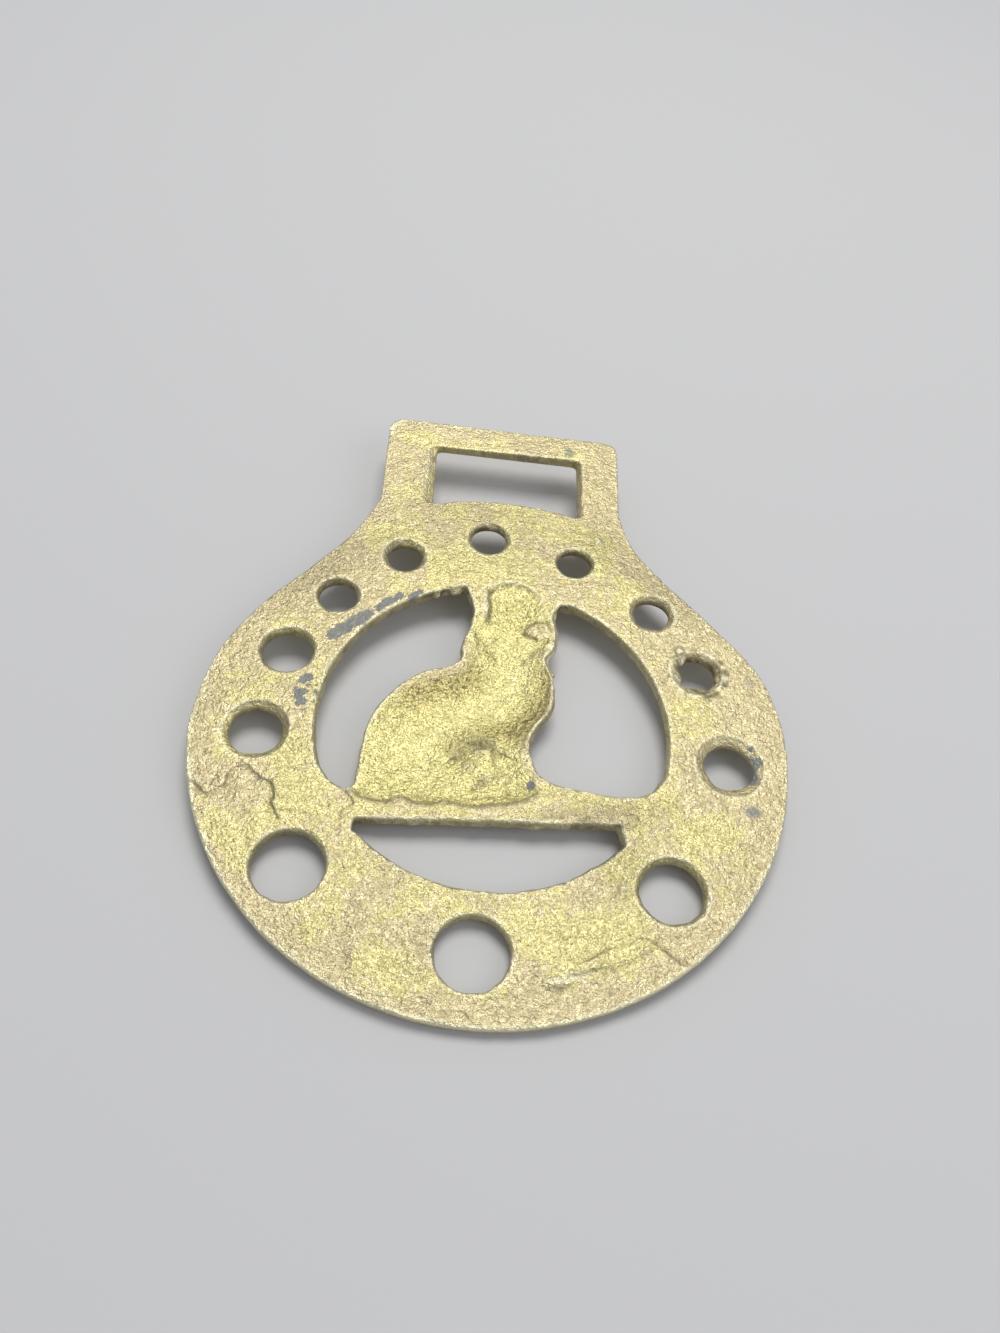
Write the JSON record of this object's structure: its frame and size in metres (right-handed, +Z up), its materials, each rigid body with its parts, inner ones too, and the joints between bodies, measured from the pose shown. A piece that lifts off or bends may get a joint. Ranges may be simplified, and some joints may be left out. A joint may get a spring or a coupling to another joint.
{
  "type": "horse brass",
  "caption": "Round cast brass harness pendant with a ring of round holes, a seated cat on a bar in the open middle and a slotted strap hanger.",
  "frame": {"origin": "on the surface it lies on, under the middle of its box", "axes": "+Z up, out of the rough back; +Y towards the strap hanger; +X to the right as the back is seen with the hanger up"},
  "size_m": [0.076, 0.0936, 0.0071],
  "materials": {
    "aged_brass": "rough sand-cast back, dull gold with olive tarnish, worn bright at the edges"
  },
  "bodies": {
    "root": {"horse_brass": "aged_brass"}
  },
  "joints": []
}
